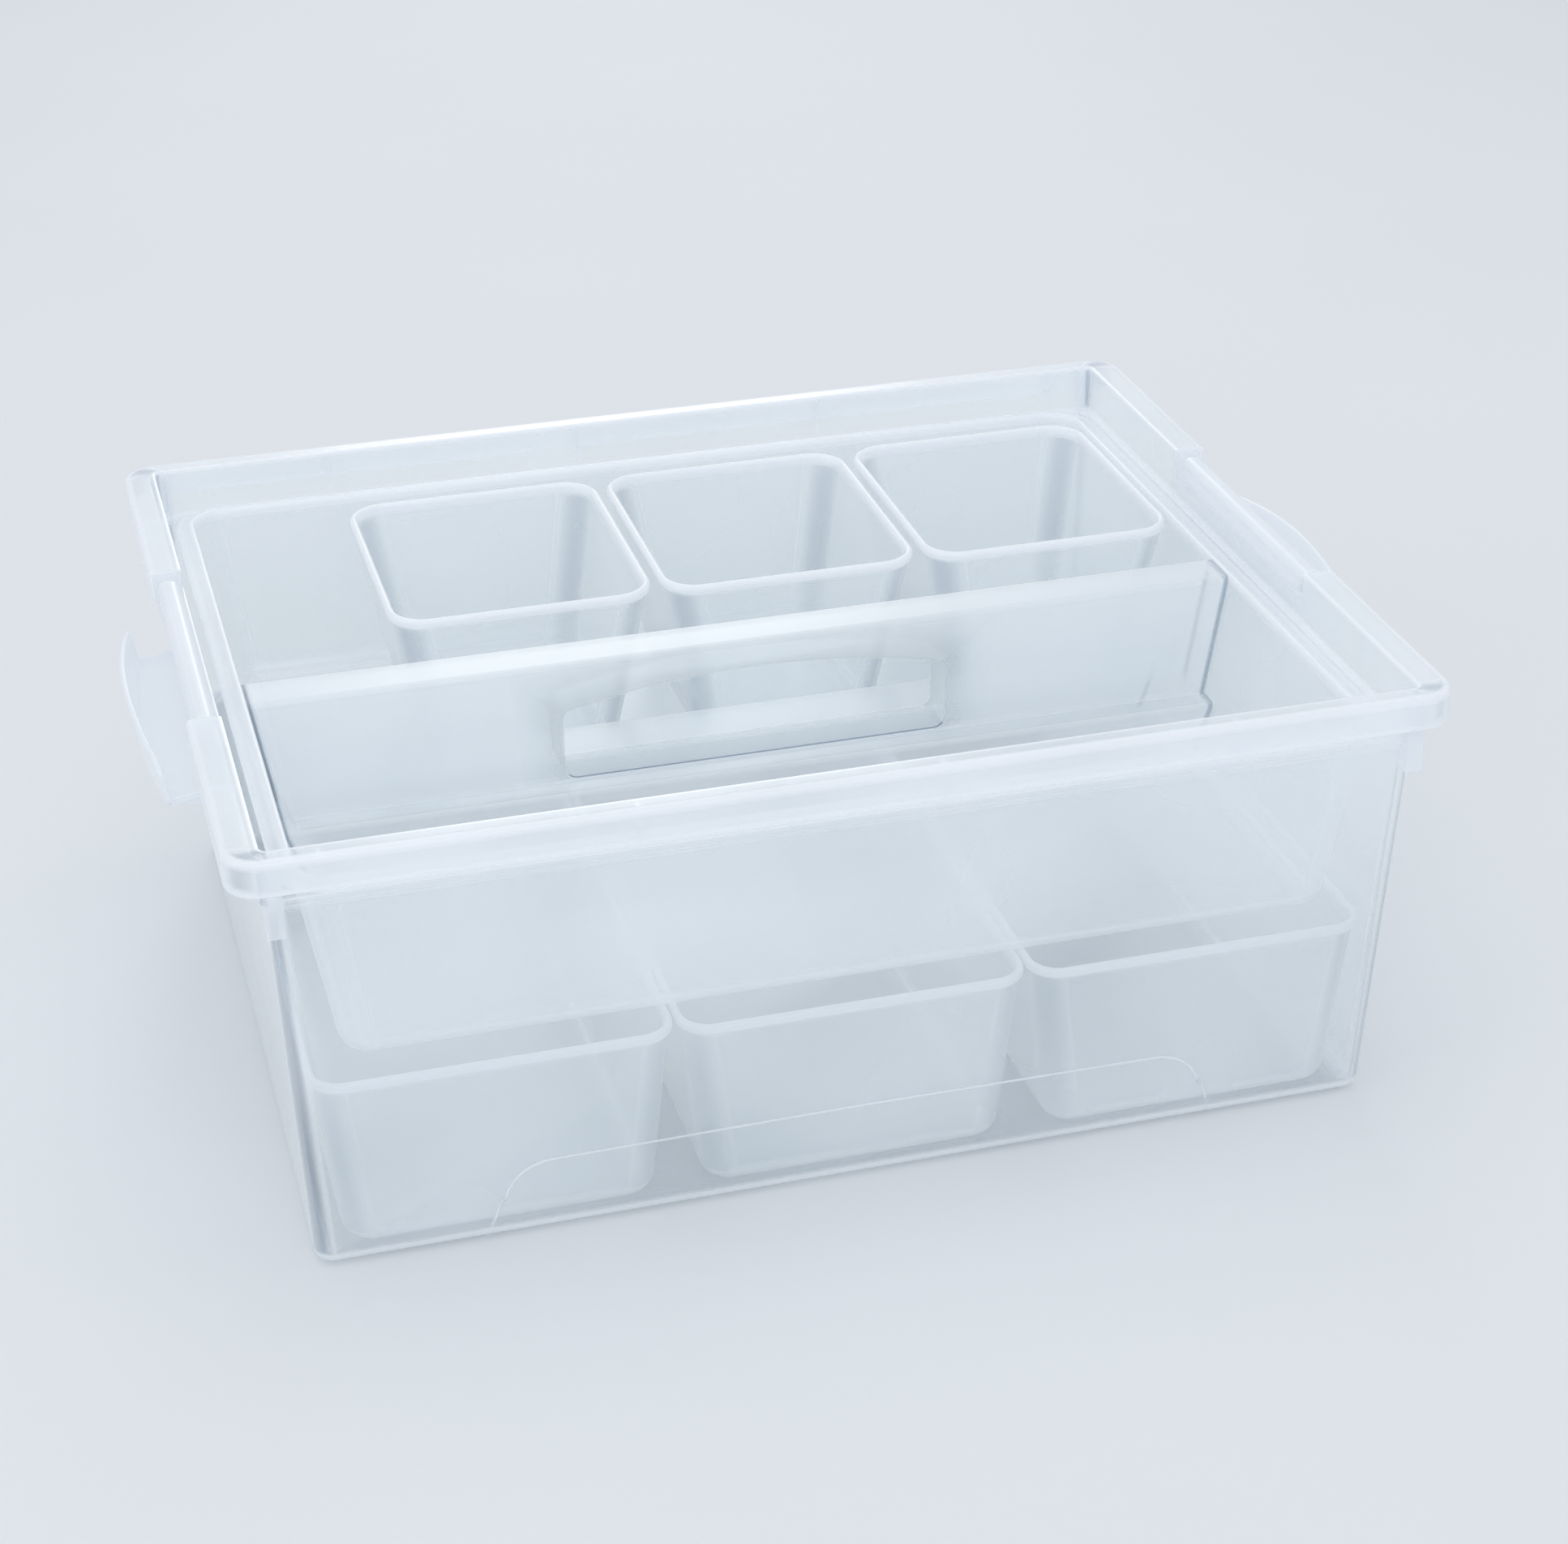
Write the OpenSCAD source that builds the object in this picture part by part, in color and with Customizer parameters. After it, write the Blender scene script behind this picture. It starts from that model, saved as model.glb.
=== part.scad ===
// Clear storage box for art supplies: a tub with two wing latches, a lift-out tray that
// holds three cups behind its carrying handle, and three long bins underneath it.
// Millimetres. X runs along the box, Y across it, Z up; the origin is the centre of the base.

/* [Tub] */
// Length over the rim
tub_len = 490; // [410:1:590]
// Width over the rim
tub_wid = 392; // [328:1:470]
// Height to the top of the rim
tub_h = 195; // [162:1:234]
// Thickness of the tub's walls
wall = 2.2; // [1.8:0.1:3]
// Thickness of the tub's floor
floor_t = 2.4; // [2:0.1:4]
// How far each wall leans in from the ledge down to the base
tub_draft = 6.4; // [2:0.2:10]
// Corner radius of the tub where its walls meet the ledge
tub_r = 4.5; // [3:0.5:12]
// Radius of the rounded edge round the base
foot_r = 7; // [4:0.5:10]

/* [Rim] */
// Width of the flat rim over the two short ends
rim_end = 14.2; // [12:0.2:18]
// Width of the flat rim along the two long sides
rim_side = 9.4; // [8:0.2:14]
// Thickness of the rim and of the skirt that hangs from it
rim_t = 2; // [1.6:0.1:3]
// Corner radius of the rim
rim_r = 14; // [8:1:24]
// Height of the skirt
skirt_h = 15; // [12:0.5:20]
// Depth of the inner ledge below the top of the rim
ledge_drop = 22.5; // [20:0.5:27]
// Width of the inner ledge
ledge_w = 2.4; // [1.8:0.1:3]
// Distance of the last web under a long rim from the end of the tub's space
web_near = 20.8; // [10:0.2:40]
// Distance of the first web from the other end
web_far = 80.8; // [40:0.2:100]

/* [Latches] */
// Length of the gap in the rim that each latch fills
notch_len = 146; // [120:1:170]
// Gap between a latch and the rim at either side
latch_gap = 5.4; // [3:0.2:8]
// Width of the latch's top bar
bar_w = 9.2; // [8:0.2:10]
// Thickness of the latch's walls
latch_t = 1.8; // [1.4:0.1:2.4]
// Radius of the latch's hinge pins
pin_r = 1.6; // [1.2:0.1:1.8]
// Radial clearance of the pins in their holes
pin_gap = 0.25; // [0.1:0.05:0.4]
// Reach of the latch out from its hinge
latch_reach = 18; // [15:0.5:24]
// Height of the grip plate at its ends
grip_h = 18; // [14:0.5:22]
// How much higher and further out the grip plate is at its middle
grip_bow = 6; // [3:0.5:8]

/* [Tray] */
// Gap round the tray's rim along the long sides of the tub
tray_gap = 0.6; // [0.3:0.1:1.5]
// Gap between the tray's rim and the tub at the short ends
tray_end_gap = 5.4; // [2:0.2:8]
// Depth of the tray below its rim
tray_deep = 84; // [70:1:100]
// Thickness of the tray's walls
tray_t = 1.8; // [1.4:0.1:2.2]
// Width of the tray's flat rim
tray_rim = 7; // [5:0.5:10]
// Corner radius of the tray's rim
tray_r = 22; // [14:1:28]
// How far the tray's short ends lean in
tray_draft_x = 12; // [6:1:18]
// How far the tray's long sides lean in
tray_draft_y = 5; // [3:1:9]
// Thickness of the handle wall
handle_t = 22; // [16:1:28]
// Distance of the handle wall in front of the tray's middle
handle_y = 17; // [8:1:26]
// Height of the step that the handle wall stands on
step_h = 31; // [20:1:40]
// How far the step reaches in front of the handle wall
step_front = 11; // [6:1:16]
// How far the step reaches behind the handle wall
step_back = 28; // [20:1:34]
// Length of the hand slot
slot_len = 170; // [110:5:220]
// Height of the hand slot at its ends
slot_h = 31; // [22:1:36]
// How much higher the slot is at its middle
slot_rise = 10; // [4:1:12]
// Radius along the top of the handle wall
handle_r = 2.4; // [2:0.1:5]

/* [Cups] */
// Room left free in the tray beside the cups
cup_free = 69.7; // [40:0.1:90]
// Clear space between two cups
cup_space = 4.5; // [2:0.5:8]
// Gap between the right-hand cup and the tray's end wall
cup_end_gap = 2; // [1:0.5:6]
// Distance of the cups behind the handle wall
cup_front = 35.4; // [32:0.5:42]
// Gap between the cups and the tray's rear wall
cup_rear_gap = 12.8; // [6:0.2:20]
// How far each cup leans in from rim to base
cup_draft = 12; // [6:1:16]
// Corner radius of a cup's rim
cup_r = 17; // [10:1:24]

/* [Bins] */
// Clear space between two bins
bin_space = 1.2; // [0.8:0.2:4]
// Gap between the bins and the tub's walls at the long sides
bin_side_gap = 1; // [0.6:0.1:3]
// Gap between the bins and the tub's walls at the short ends
bin_end_gap = 4.6; // [2:0.2:8]
// Space between the bins and the tray above them
bin_head = 4.6; // [2:0.2:10]
// How far a bin's long sides lean in
bin_draft_x = 16; // [8:1:20]
// How far a bin's short ends lean in
bin_draft_y = 11; // [6:1:16]
// Corner radius of a bin's rim
bin_r = 14; // [8:1:20]

/* [Cup and bin rims] */
// Thickness of the walls of cups and bins
cup_t = 1.6; // [1.2:0.1:2.4]
// Width of the rolled rim
roll_w = 3.2; // [2.6:0.1:4]
// Height of the rolled rim
roll_h = 4; // [3:0.2:6]
// Clearance under a piece that stands in another
seat_gap = 0.3; // [0.2:0.1:0.5]

/* [Hidden] */
curve_fn = 48;
corner_fn = 24;
big_fn = 180;
lap = 0.5;                                  // how far joined shapes run into each other

// Tub
in_x = tub_len / 2 - rim_end;               // half length inside the straight band
in_y = tub_wid / 2 - rim_side;              // half width inside the straight band
ledge_z = tub_h - ledge_drop;
skirt_z = tub_h - skirt_h;
low_x = in_x - ledge_w;                     // half length of the cavity at the ledge
low_y = in_y - ledge_w;                     // half width of the cavity at the ledge
web_pitch = (2 * in_x - web_near - web_far) / 3;
band_r = 3;                                 // inner corner radius above the ledge
wall_dz = ledge_z - lap - foot_r;           // the walls lean by this much over their height
wall_lean = atan((tub_draft + foot_r) / wall_dz)
          - asin(foot_r / norm([tub_draft + foot_r, wall_dz]));
post_w = 7;                                 // corner posts below the skirt
post_drop = 20;
post_rise = 3;                              // slope of a post's foot
post_gap = 1.5;                             // between a post and the skirt
web_t = 1.6;
web_r = 9;                                  // hollow of the webs' lower edge
web_end = 55;                               // distance of the end webs from the notch
panel_top = 35;                             // panel pressed into the foot of each long side
panel_half = 155;
panel_slope = 16;
panel_r = 20;
panel_deep = 0.7;

// Latches: the hinge line lies inside the rim's channel
bar_gap = 1.1;                              // between the bar and the skirt's line
bar_low = 2.3;                              // top of the bar below the top of the rim
bar_x = tub_len / 2 - rim_t - bar_gap - bar_w / 2;
bar_r = 3.5;                                // rounded top of the bar
bar_rise = 6.5;                             // top of the bar above the hinge line
bar_drop = 3;                               // bottom of the bar below the hinge line
hinge_z = tub_h - bar_low - bar_rise;
latch_half = notch_len / 2 - latch_gap;
wall_low = 5.8;                             // the end wall stops this far below the hinge line
notch_z = hinge_z - wall_low;
foot_low = 2.4;                             // tip of the bar's inner foot, below the hinge line
foot_end = 1;                               // blunt end of the foot
foot_gap = 0.6;                             // the foot swings past the wall's top with this gap
foot_swing = norm([bar_x - in_x - wall, wall_low]) - foot_gap;
foot_out = sqrt(pow(foot_swing, 2) - pow(foot_low, 2));
web_low = 26;                               // the latch's web, below the hinge line
web_fall = 2.5;
web_lip = 3.2;                              // depth of the turned-down ends of the web
leg_low = 36;
leg_in = 5;                                 // lean of the leg towards the tub
web_in = bar_w / 2 - leg_in * web_low / leg_low - latch_t / 2;
grip_t = 2.6;
grip_under = 1.6;                           // the grip plate reaches this far under the web
grip_lean = 4;
grip_end_r = 4;
grip_low = hinge_z - web_low - web_fall - latch_t - grip_under;
grip_r = (pow(latch_half, 2) + pow(grip_bow, 2)) / (2 * grip_bow);
ear_t = 2.2;                                // the ears that carry the hinge pins
pin_short = 0.2;                            // the pins stop short of the ears' outer faces
ear_drop = 11;
ear_r = 4;

// The tray's rim rests on the ledge, and the bins stand on the tub's floor below the tray
tray_rim_z = ledge_z + seat_gap;            // underside of the tray's rim
tray_z = tray_rim_z - tray_deep;
bin_z = floor_t + seat_gap;
bin_top = tray_z - bin_head;
bin_h = bin_top - bin_z;
wall_in = tub_draft * (ledge_z - bin_top) / ledge_z;   // lean of the tub's wall at the bins' rims
bin_x = (2 * (low_x - wall_in - bin_end_gap) - 2 * bin_space) / 3;
bin_y = 2 * (low_y - wall_in - bin_side_gap);
bin_foot_r = 10;

// Tray
tray_out_x = in_x - tray_end_gap;
tray_out_y = in_y - tray_gap;
tray_x = tray_out_x - tray_rim;             // outside of the tray's wall below its rim
tray_y = tray_out_y - tray_rim;
tray_wall_r = tray_r - tray_rim;
tray_foot_r = 12;
tray_h = tray_deep + tray_t;
bead_r = 1.6;
step_z = tray_z + step_h;                   // top of the step
handle_up = 2.6;                            // the handle wall ends this far above the rim's foot
handle_top = tray_rim_z + handle_up;
handle_front = -handle_y - handle_t / 2;
handle_back = -handle_y + handle_t / 2;
slot_sill = 1.5;
slot_r = 5;
slot_lip = 0.5;                             // the slot's liner stands proud of the wall
step_lean = 1;
arch_r = (pow(slot_len / 2, 2) + pow(slot_rise, 2)) / (2 * slot_rise);

// Cups stand on the tray's floor behind the handle wall
cup_z = tray_z + tray_t + seat_gap;
cup_up = 3.4;                               // the cups end this far above the rim's foot
cup_top = tray_rim_z + cup_up;
cup_x = (2 * (tray_x - tray_t) - cup_free - cup_end_gap) / 3 - cup_space * 2 / 3;
cup_y = tray_y - tray_t - cup_rear_gap - handle_back - cup_front;
cup_mid_x = tray_x - tray_t - cup_end_gap - 1.5 * cup_x - cup_space;
cup_mid_y = handle_back + cup_front + cup_y / 2;
cup_foot_r = 12;

// Rectangle with round corners, half sizes x and y
module round_rect(x, y, r) {
    square([2 * x, 2 * (y - r)], center = true);
    square([2 * (x - r), 2 * y], center = true);
    for (sx = [-1, 1], sy = [-1, 1])
        translate([sx * (x - r), sy * (y - r)]) circle(r, $fn = curve_fn);
}

// Sweeps a profile round a rectangle with half sizes x and y and corner radius r.
// The profile's X is the distance out from the corner's centre.
module sweep_round(x, y, r) {
    for (turn = [0, 180]) rotate([0, 0, turn]) {
        translate([x - r, 0, 0]) rotate([90, 0, 0])
            linear_extrude(2 * (y - r), center = true) children();
        rotate([0, 0, 90]) translate([y - r, 0, 0]) rotate([90, 0, 0])
            linear_extrude(2 * (x - r), center = true) children();
        translate([x - r, y - r, 0]) rotate_extrude(angle = 90, $fn = curve_fn) children();
        translate([r - x, y - r, 0]) rotate([0, 0, 90])
            rotate_extrude(angle = 90, $fn = curve_fn) children();
    }
}

// Solid that tapers from half sizes x and y at the top down to a base with a round edge
module tapered(x, y, r, lean_x, lean_y, base_r, h) {
    hull() for (sx = [-1, 1], sy = [-1, 1]) {
        translate([sx * (x - r), sy * (y - r), h - lap])
            cylinder(h = lap, r = r, $fn = corner_fn);
        translate([sx * (x - lean_x - base_r), sy * (y - lean_y - base_r), base_r])
            sphere(base_r / cos(180 / corner_fn), $fn = corner_fn);
    }
}

module mirror_copy(v) {
    children();
    mirror(v) children();
}

// ---- Tub ----

// Long walls, ledge, rim and skirt before the inside is taken out
module tub_outside() {
    tapered(low_x + wall, low_y + wall, tub_r, tub_draft, tub_draft, foot_r, ledge_z);
    translate([0, 0, ledge_z - wall]) linear_extrude(tub_h - ledge_z)
        round_rect(in_x + wall, in_y + wall, band_r + wall);
    translate([0, 0, tub_h - rim_t]) linear_extrude(rim_t)
        round_rect(tub_len / 2 - rim_t, tub_wid / 2 - rim_t, rim_r - rim_t);
    translate([0, 0, skirt_z]) sweep_round(tub_len / 2, tub_wid / 2, rim_r)
        translate([rim_r - rim_t, 0]) {
            square([rim_t, skirt_h - rim_t]);
            translate([0, skirt_h - rim_t]) intersection() {
                circle(rim_t, $fn = curve_fn);
                square(rim_t);
            }
        }
    mirror_copy([1, 0, 0]) mirror_copy([0, 1, 0]) {
        corner_post();
        hinge_ear();
    }
    rim_webs();
}

// Cavity below the ledge, and the wider one above it
module tub_inside() {
    translate([0, 0, floor_t])
        tapered(low_x, low_y, tub_r - lap, tub_draft, tub_draft, foot_r - wall,
                ledge_z + lap - floor_t);
    translate([0, 0, ledge_z]) linear_extrude(ledge_drop + lap)
        round_rect(in_x, in_y, band_r);
}

// Hollow post that stiffens the skirt at each corner, open underneath
module corner_post() {
    depth = tub_wid / 2 - rim_t - post_gap - low_y;
    foot = skirt_z - post_drop;
    high = tub_h - rim_t / 2;
    translate([low_x + wall - post_w + lap, low_y, 0]) difference() {
        rotate([90, 0, 90]) linear_extrude(post_w)
            polygon([[0, foot], [depth, foot + post_rise], [depth, high], [0, high]]);
        translate([web_t, -lap, foot - lap])
            cube([post_w - 2 * web_t, depth + lap - web_t, high - foot]);
    }
}

// Ear that closes the rim's channel beside the notch and carries a hinge pin
module hinge_ear() {
    translate([0, notch_len / 2 + ear_t, 0]) rotate([90, 0, 0]) linear_extrude(ear_t) {
        translate([low_x, skirt_z - ear_drop + ear_r])
            square([tub_len / 2 - rim_t - low_x - ear_r / 2, ear_drop - ear_r + lap]);
        translate([low_x, skirt_z - ear_drop])
            square([tub_len / 2 - rim_t - low_x - 1.5 * ear_r, ear_r + lap]);
        translate([tub_len / 2 - rim_t - 1.5 * ear_r, skirt_z - ear_drop + ear_r])
            circle(ear_r, $fn = curve_fn);
        translate([low_x, skirt_z])
            square([tub_len / 2 - rim_t / 2 - low_x, skirt_h - rim_t / 2]);
    }
}

// Web under the rim, with a hollow lower edge, between the wall at 0 and the skirt at reach
module rim_web(reach) {
    high = tub_h - rim_t / 2;
    rotate([90, 0, 0]) linear_extrude(web_t, center = true) difference() {
        translate([0, skirt_z + rim_t]) square([reach, high - skirt_z - rim_t]);
        translate([reach - rim_t, skirt_z + rim_t])
            circle(min(web_r, reach - 2 * rim_t), $fn = curve_fn);
    }
}

module rim_webs() {
    for (turn = [0, 180], i = [0 : 3]) rotate([0, 0, turn])
        translate([in_x - web_near - i * web_pitch, in_y, 0]) rotate([0, 0, 90])
            rim_web(rim_side - rim_t / 2);
    mirror_copy([1, 0, 0]) for (side = [-1, 1])
        translate([in_x, side * (notch_len / 2 + web_end), 0]) rim_web(rim_end - rim_t / 2);
}

// Gap in the rim, the skirt and the top of the end wall where a latch sits
module notch() {
    translate([in_x - lap, -notch_len / 2, notch_z])
        cube([rim_end + 2 * lap, notch_len, tub_h - notch_z + lap]);
    translate([in_x + wall, -notch_len / 2, skirt_z - lap])
        cube([rim_end - wall + lap, notch_len, notch_z - skirt_z + 2 * lap]);
    mirror_copy([0, 1, 0])
        translate([bar_x, notch_len / 2 - lap, hinge_z]) rotate([-90, 0, 0])
            cylinder(h = ear_t + 2 * lap, r = pin_r + pin_gap, $fn = curve_fn);
}

// Shallow panel pressed into the foot of a long wall, square to that leaning wall
module foot_panel() {
    translate([0, -low_y - wall, ledge_z - lap]) rotate([90 + wall_lean, 0, 0])
        translate([0, -(ledge_z - lap) / cos(wall_lean), -panel_deep])
            linear_extrude(panel_deep + 2 * lap) hull() for (side = [-1, 1]) {
                translate([side * panel_half, -foot_r]) circle(lap, $fn = corner_fn);
                translate([side * (panel_half - panel_slope - panel_r), panel_top - panel_r])
                    circle(panel_r, $fn = curve_fn);
            }
}

module tub() {
    color([0.86, 0.91, 0.95, 0.45]) difference() {
        tub_outside();
        tub_inside();
        mirror_copy([1, 0, 0]) notch();
        mirror_copy([0, 1, 0]) foot_panel();
    }
}

// ---- Latches ----

// Outline of the top bar about the hinge line, made smaller by inset
module bar_outline(inset) {
    w = bar_w / 2 - inset;
    low = -bar_drop - (inset > 0 ? lap : 0);
    translate([-w, low]) square([2 * w, bar_rise - bar_r - low]);
    translate([-w + bar_r - inset, low]) square([2 * (w - bar_r + inset), bar_rise - inset - low]);
    for (side = [-1, 1])
        translate([side * (bar_w / 2 - bar_r), bar_rise - bar_r])
            circle(bar_r - inset, $fn = curve_fn);
}

// Section of bar, foot and leg, looking along the hinge line
module latch_section() {
    difference() {
        bar_outline(0);
        bar_outline(latch_t);
    }
    polygon([[-bar_w / 2 + latch_t, bar_drop / 2], [-bar_w / 2, bar_drop / 2],
             [-foot_out, -foot_low + foot_end], [-foot_out, -foot_low],
             [-foot_out + latch_t, -bar_drop], [-bar_w / 2 + latch_t, -bar_drop]]);
    polygon([[bar_w / 2 - latch_t, 0], [bar_w / 2, 0],
             [bar_w / 2 - leg_in, -leg_low], [bar_w / 2 - leg_in - latch_t, -leg_low]]);
}

// Web that joins the leg to the grip plate
module web_section(depth) {
    reach = latch_reach + grip_bow;
    polygon([[web_in, -web_low], [reach, -web_low - web_fall],
             [reach, -web_low - web_fall - depth], [web_in, -web_low - depth]]);
}

// Extrudes a section along the hinge line, centred on the latch
module along_latch(length) {
    translate([bar_x, 0, hinge_z]) rotate([90, 0, 0])
        linear_extrude(length, center = true) children();
}

// Solid bounded by the bowed, leaning outside of the grip plate, made smaller by inset
module grip_form(inset) {
    translate([bar_x + latch_reach + grip_bow - grip_r, 0, grip_low])
        cylinder(h = grip_h + grip_bow + lap, r1 = grip_r - inset,
                 r2 = grip_r - inset + grip_lean, $fn = big_fn);
}

// Outline of the grip plate seen from the end of the box, with an arched top edge
module grip_outline() {
    h = grip_h + grip_bow;
    intersection() {
        translate([0, grip_low + h / 2]) round_rect(latch_half, h / 2, grip_end_r);
        translate([0, grip_low + h - grip_r]) circle(grip_r, $fn = big_fn);
    }
}

module latch() {
    // Bowed lower edge of the leg
    intersection() {
        along_latch(2 * latch_half) latch_section();
        translate([bar_x - 2 * foot_out, 0, 0]) rotate([90, 0, 90])
            linear_extrude(4 * foot_out) translate([0, hinge_z - leg_low + grip_r])
                circle(grip_r, $fn = big_fn);
    }
    mirror_copy([0, 1, 0]) translate([0, latch_half - latch_t / 2, 0]) {
        along_latch(latch_t) bar_outline(0);
        intersection() {
            along_latch(latch_t) web_section(web_lip);
            translate([0, -latch_half + latch_t / 2, 0]) grip_form(grip_t / 2);
        }
    }
    intersection() {
        along_latch(2 * latch_half) web_section(latch_t);
        grip_form(grip_t / 2);
    }
    difference() {
        intersection() {
            grip_form(0);
            translate([bar_x, 0, 0]) rotate([90, 0, 90])
                linear_extrude(latch_reach + 2 * grip_bow + grip_lean) grip_outline();
        }
        grip_form(grip_t);
    }
    translate([bar_x, 0, hinge_z]) rotate([90, 0, 0]) mirror_copy([0, 0, 1])
        translate([0, 0, latch_half - lap])
            cylinder(h = latch_gap + ear_t - pin_short + lap, r = pin_r, $fn = curve_fn);
}

module latch_right() { color([0.93, 0.95, 0.97, 0.8]) latch(); }
module latch_left() { color([0.93, 0.95, 0.97, 0.8]) mirror([1, 0, 0]) latch(); }

// ---- Tray ----

// The tray's outer form, or with inset the space inside its walls
module tray_form(inset) {
    translate([0, 0, tray_z + inset])
        tapered(tray_x - inset, tray_y - inset, tray_wall_r - inset, tray_draft_x,
                tray_draft_y, tray_foot_r - inset, tray_h + (inset > 0 ? lap : 0) - inset);
}

// Section of the step and the handle wall that rises from it, made thinner by inset
module handle_section(inset) {
    foot = tray_z - (inset > 0 ? 2 * lap : 0);
    high = handle_top - inset;
    polygon([[handle_front - step_front - step_lean + inset, foot],
             [handle_front - step_front + inset, step_z - inset],
             [handle_back + step_back - inset, step_z - inset],
             [handle_back + step_back + step_lean - inset, foot]]);
    translate([-handle_y, (tray_z + high) / 2])
        round_rect(handle_t / 2 - inset, (high - tray_z) / 2, handle_r - inset);
}

module handle_prism(inset) {
    rotate([90, 0, 90]) linear_extrude(2 * tray_x, center = true) handle_section(inset);
}

// Hand slot with an arched top, seen from the front
module slot_outline(grow) {
    h = slot_h + slot_rise;
    translate([0, step_z + slot_sill]) intersection() {
        translate([0, h / 2]) round_rect(slot_len / 2 + grow, h / 2 + grow, slot_r + grow);
        translate([0, h - arch_r]) circle(arch_r + grow, $fn = big_fn);
    }
}

// Prism along the slot that ends proud of both faces of the handle wall
module slot_prism(grow, proud) {
    translate([0, -handle_y, 0]) rotate([90, 0, 0])
        linear_extrude(handle_t + 2 * proud, center = true) slot_outline(grow);
}

module insert_tray() {
    color([0.88, 0.93, 0.97, 0.5]) difference() {
        union() {
            difference() {
                union() {
                    tray_form(0);
                    translate([0, 0, tray_rim_z]) linear_extrude(tray_t)
                        round_rect(tray_out_x, tray_out_y, tray_r);
                    translate([0, 0, tray_rim_z + tray_t])
                        sweep_round(tray_x, tray_y, tray_wall_r)
                            translate([tray_wall_r, 0]) circle(bead_r, $fn = curve_fn);
                }
                tray_form(tray_t);
            }
            intersection() {
                tray_form(0);
                handle_prism(0);
            }
            slot_prism(tray_t, slot_lip);
        }
        difference() {
            intersection() {
                translate([0, 0, -tray_t - lap]) tray_form(tray_t);
                handle_prism(tray_t);
            }
            slot_prism(tray_t, slot_lip);
        }
        slot_prism(0, 2 * slot_lip);
    }
}

// ---- Cups and bins ----

// Open container with a rolled rim; x and y are the half sizes over the rim
module container(x, y, r, lean_x, lean_y, base_r, h) {
    difference() {
        union() {
            tapered(x - roll_w + cup_t, y - roll_w + cup_t, r - roll_w + cup_t, lean_x, lean_y,
                    base_r, h - roll_w / 2);
            translate([0, 0, h - roll_h]) sweep_round(x, y, r)
                translate([r - roll_w, 0]) {
                    square([roll_w, roll_h - roll_w / 2]);
                    translate([roll_w / 2, roll_h - roll_w / 2])
                        circle(roll_w / 2, $fn = corner_fn);
                }
        }
        translate([0, 0, cup_t])
            tapered(x - roll_w, y - roll_w, r - roll_w, lean_x, lean_y, base_r - cup_t,
                    h - cup_t + lap);
    }
}

module cup(place) {
    color([0.92, 0.95, 0.98, 0.55])
        translate([cup_mid_x + place * (cup_x + cup_space), cup_mid_y, cup_z])
            container(cup_x / 2, cup_y / 2, cup_r, cup_draft, cup_draft, cup_foot_r,
                      cup_top - cup_z);
}

module bin(place) {
    color([0.86, 0.91, 0.96, 0.5]) translate([place * (bin_x + bin_space), 0, bin_z])
        container(bin_x / 2, bin_y / 2, bin_r, bin_draft_x, bin_draft_y, bin_foot_r, bin_h);
}

module cup_left() { cup(-1); }
module cup_middle() { cup(0); }
module cup_right() { cup(1); }
module bin_left() { bin(-1); }
module bin_middle() { bin(0); }
module bin_right() { bin(1); }

tub();
latch_left();
latch_right();
insert_tray();
cup_left();
cup_middle();
cup_right();
bin_left();
bin_middle();
bin_right();
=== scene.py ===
import bmesh
import bpy
import math
from mathutils import Matrix, Vector


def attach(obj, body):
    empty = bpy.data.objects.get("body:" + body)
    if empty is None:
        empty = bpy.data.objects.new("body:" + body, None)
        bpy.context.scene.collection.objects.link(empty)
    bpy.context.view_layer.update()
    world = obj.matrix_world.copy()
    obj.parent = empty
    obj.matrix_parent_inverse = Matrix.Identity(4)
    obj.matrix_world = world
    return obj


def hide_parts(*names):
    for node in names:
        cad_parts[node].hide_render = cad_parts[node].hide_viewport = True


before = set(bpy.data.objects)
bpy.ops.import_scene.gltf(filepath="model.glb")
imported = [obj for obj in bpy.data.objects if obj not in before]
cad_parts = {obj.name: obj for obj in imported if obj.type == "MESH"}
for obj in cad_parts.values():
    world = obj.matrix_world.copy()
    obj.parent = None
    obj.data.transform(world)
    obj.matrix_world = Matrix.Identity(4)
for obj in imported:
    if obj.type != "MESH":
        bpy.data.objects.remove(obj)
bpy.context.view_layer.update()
MM = 0.001

# ---- Tub ----
# One injection moulding in clear polypropylene: leaning walls, a ledge for the tray, a flat rim with a
# hanging skirt, and hollow posts under its corners. Edges and corners are painted whiter than the walls
# between them, as painted highlight, with a line of painted shade down the middle of each corner.


def linear(code):
    """An sRGB hex colour as linear red, green, blue and alpha."""
    parts = [int(code[i : i + 2], 16) / 255 for i in (0, 2, 4)]
    return [c / 12.92 if c <= 0.04045 else ((c + 0.055) / 1.055) ** 2.4 for c in parts] + [1]


def add(tree, kind, sockets=(), **settings):
    """Adds a node with its settings, its plain values and its links."""
    n = tree.nodes.new(kind)
    for name, value in settings.items():
        setattr(n, name, value)
    for key, value in dict(sockets).items():
        if isinstance(value, bpy.types.NodeSocket):
            tree.links.new(value, n.inputs[key])
        else:
            n.inputs[key].default_value = value
    return n


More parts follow.
